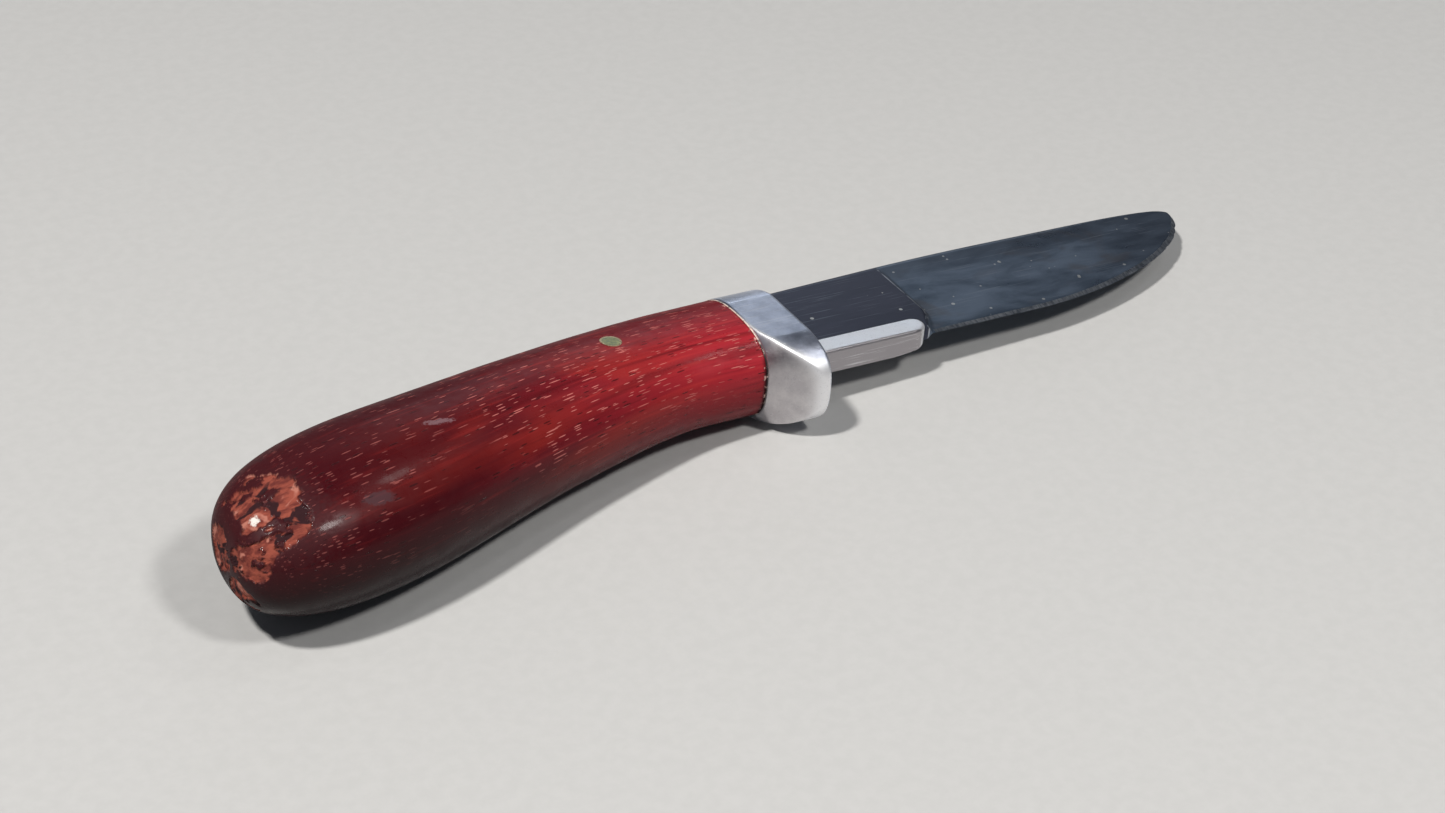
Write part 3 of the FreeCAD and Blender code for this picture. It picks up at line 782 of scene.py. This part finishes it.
def glue_line():
    n = Nodes("cured_glue_with_gap_shade")
    z = n.axis("Z")
    y = n.axis("Y")
    chip = n.noise((0.8, 0.8, 0.8), 5.0, 0.75)
    # Dark where the glue is chipped: painted shade of the open gap between guard and grip, with fewer dark
    # chips at the top and on the spine side.
    high = n.math("MAXIMUM", n.ramp(z, 4.0, 8.5), n.ramp(y, 3.0, 8.0))
    sound = n.ramp(n.math("ADD", chip, n.math("MULTIPLY", high, 0.16)), 0.57, 0.64)
    colour = n.mix(sound, (0.012, 0.007, 0.007), (0.66, 0.52, 0.44))
    rough = n.ramp(chip, 0.3, 0.7, 0.45, 0.75)
    normal = n.bump(chip, 0.15, 0.8)
    return n.finish(colour, rough, normal)


def pin_metal():
    n = Nodes("dull_brass")
    stain = n.noise((1.2, 1.2, 1.2), 5.0, 0.7)
    colour = n.mix(n.ramp(stain, 0.4, 0.6), (0.28, 0.20, 0.10), (0.66, 0.54, 0.34))
    rough = n.ramp(stain, 0.3, 0.7, 0.32, 0.52)
    normal = n.bump(stain, 0.03, 0.6)
    n.shader.inputs["Metallic"].default_value = 1.0
    return n.finish(colour, rough, normal)


def pin_resin():
    n = Nodes("olive_resin")
    mottle = n.noise((1.5, 1.5, 1.5), 5.0, 0.7)
    fleck = n.noise((3.5, 3.5, 3.5), 3.0, 0.6, shift=(4, 4, 4))
    colour = n.mix(n.ramp(mottle, 0.35, 0.65), (0.050, 0.070, 0.028), (0.19, 0.20, 0.10))
    colour = n.mix(n.ramp(fleck, 0.58, 0.68, 0.0, 0.7), colour, (0.03, 0.035, 0.02))
    rough = n.ramp(mottle, 0.3, 0.7, 0.30, 0.55)
    normal = n.bump(fleck, 0.05, 0.7)
    return n.finish(colour, rough, normal)


def paint(piece, *materials):
    """Object-level slots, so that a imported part's own mesh stays as it is."""
    mesh = piece.data
    while len(mesh.materials) < len(materials):
        mesh.materials.append(None)
    for slot, material in zip(piece.material_slots, materials):
        slot.link = "OBJECT"
        slot.material = material


# ------------------------------------------------------------------ studio
def camera():
    data = bpy.data.cameras.new("camera")
    data.sensor_width = 36.0
    data.lens = 70.5
    data.clip_start = 0.01
    data.clip_end = 20.0
    eye = bpy.data.objects.new("camera", data)
    bpy.context.collection.objects.link(eye)
    aim = Vector((-12.5, -4.95, 13.41)) * MM
    distance = 501.7
    azimuth = math.radians(-33.2)
    elevation = math.radians(32.06)
    roll = math.radians(5.72)
    flat = math.cos(elevation)
    back = Vector((math.sin(azimuth) * flat, -math.cos(azimuth) * flat, math.sin(elevation)))
    level = Vector((0, 0, 1)).cross(back).normalized()
    rise = back.cross(level)
    right = level * math.cos(roll) + rise * math.sin(roll)
    up = back.cross(right)
    turn = Matrix((right, up, back)).transposed().to_4x4()
    eye.matrix_world = Matrix.Translation(aim + back * distance * MM) @ turn
    bpy.context.scene.camera = eye


def area_light(name, spot, aim, size, power, colour):
    data = bpy.data.lights.new(name, "AREA")
    data.shape = "DISK"
    data.size = size
    data.energy = power
    data.color = colour
    lamp = bpy.data.objects.new(name, data)
    bpy.context.collection.objects.link(lamp)
    lamp.location = spot
    lamp.rotation_mode = "QUATERNION"
    lamp.rotation_quaternion = (Vector(spot) - Vector(aim)).to_track_quat("Z", "Y")


def pale_floor():
    mesh = bpy.data.meshes.new("floor")
    half = 3.0
    corners = [(-half, -half, 0), (half, -half, 0), (half, half, 0), (-half, half, 0)]
    mesh.from_pydata(corners, [], [(0, 1, 2, 3)])
    floor = bpy.data.objects.new("floor", mesh)
    bpy.context.collection.objects.link(floor)
    lean = Matrix.Rotation(math.radians(FLOOR_LEAN), 4, "Y")
    floor.matrix_world = Matrix.Translation(FLOOR_TOUCH * MM) @ lean
    n = Nodes("pale_paper")
    tooth = n.noise((0.4, 0.4, 0.4), 5.0, 0.6)
    colour = n.mix(n.ramp(tooth, 0.3, 0.7), (0.42, 0.42, 0.416), (0.44, 0.44, 0.436))
    rough = n.ramp(tooth, 0.3, 0.7, 0.85, 0.95)
    mesh.materials.append(n.finish(colour, rough, n.bump(tooth, 0.02, 0.15)))


def studio():
    scene = bpy.context.scene
    scene.view_settings.view_transform = "Standard"
    world = bpy.data.worlds.new("studio")
    scene.world = world
    world.use_nodes = True
    world.node_tree.nodes["Background"].inputs["Color"].default_value = (0.80, 0.87, 1.0, 1)
    world.node_tree.nodes["Background"].inputs["Strength"].default_value = 0.11
    middle = (0.0, 0.0, 0.01)
    area_light("key", (-0.75, -0.13, 1.28), middle, 0.14, 23.0, (1.0, 0.97, 0.93))
    area_light("shoulder", (0.52, -0.02, 0.97), middle, 0.14, 0.6, (1.0, 0.99, 0.97))
    area_light("butt", (0.16, -0.55, 0.84), middle, 0.15, 5.0, (1.0, 0.98, 0.95))
    area_light("back", (0.72, 1.32, 0.60), middle, 0.6, 1.3, (0.85, 0.92, 1.0))


# ------------------------------------------------------------------ build
camera()
studio()
pale_floor()

grip = grip_mesh()
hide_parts("handle")
paint(grip, grip_wood())

steel = blade_metal()
blade = blade_mesh()
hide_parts("blade")
paint(blade, steel, edge_metal())
tang = tang_mesh()
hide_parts("blade")
paint(tang, steel)

guard = softened_copy("guard", "guard_body", 0.2, 4)
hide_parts("guard")
mark_guard(guard)
paint(guard, guard_metal())

paint(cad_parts["tang_bedding"], glue_line())
paint(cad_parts["pin_tube"], pin_metal())
paint(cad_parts["pin_core"], pin_resin())
